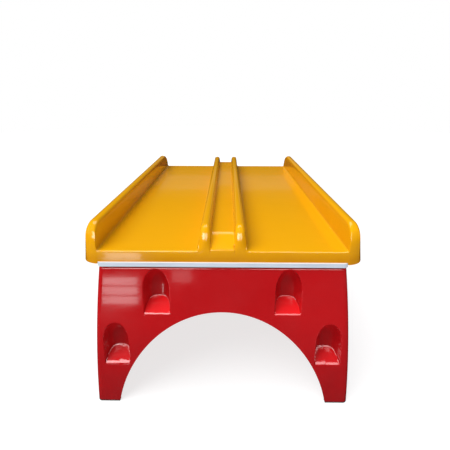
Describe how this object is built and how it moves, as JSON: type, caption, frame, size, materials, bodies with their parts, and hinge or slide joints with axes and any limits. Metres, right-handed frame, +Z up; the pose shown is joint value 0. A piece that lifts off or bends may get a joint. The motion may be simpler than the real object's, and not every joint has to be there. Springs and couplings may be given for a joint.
{
  "type": "toy workbench",
  "caption": "Nursery workbench: moulded worktop with raised side rails and a ribbed centre channel, lifting off a flared stand with arches and pockets.",
  "frame": {"origin": "centre of the bench on the floor", "axes": "+X across the bench, +Y from front to back along the lanes, +Z up"},
  "size_m": [0.802, 1.296, 0.57],
  "materials": {
    "yellow_shell": "glossy moulded shell",
    "red_shell": "glossy moulded shell",
    "white_board": "white laminate",
    "plain_wood": "planed softwood",
    "black_rubber": "matt rubber",
    "zinc_steel": "zinc plated"
  },
  "bodies": {
    "stand": {"left_side_panel": "red_shell", "splice_plate_front_left": "zinc_steel", "splice_plate_rear_left": "zinc_steel", "foot_pad_front_left": "black_rubber", "foot_pad_middle_left": "black_rubber", "foot_pad_rear_left": "black_rubber", "right_side_panel": "red_shell", "splice_plate_front_right": "zinc_steel", "splice_plate_rear_right": "zinc_steel", "foot_pad_front_right": "black_rubber", "foot_pad_middle_right": "black_rubber", "foot_pad_rear_right": "black_rubber", "front_arch_panel": "red_shell", "cross_rail_front": "plain_wood", "rear_arch_panel": "red_shell", "cross_rail_rear": "plain_wood", "rail_screws": "zinc_steel", "seam_bolts": "zinc_steel", "seam_nuts": "zinc_steel"},
    "worktop": {"worktop_shell": "yellow_shell", "carrier_board": "white_board", "rest_pads": "black_rubber", "worktop_screws": "zinc_steel", "bearer_screws": "zinc_steel", "block_screws": "zinc_steel", "floor_bearer_1": "plain_wood", "floor_bearer_2": "plain_wood", "floor_bearer_3": "plain_wood", "floor_bearer_4": "plain_wood", "rib_core_left": "plain_wood", "locating_block_front_left": "plain_wood", "locating_block_rear_left": "plain_wood", "rib_core_right": "plain_wood", "locating_block_front_right": "plain_wood", "locating_block_rear_right": "plain_wood"}
  },
  "joints": [
    {"name": "worktop_lift", "type": "slide", "parent": "stand", "child": "worktop", "axis": [0, 0, 1], "range_m": [0, 0.1]}
  ]
}
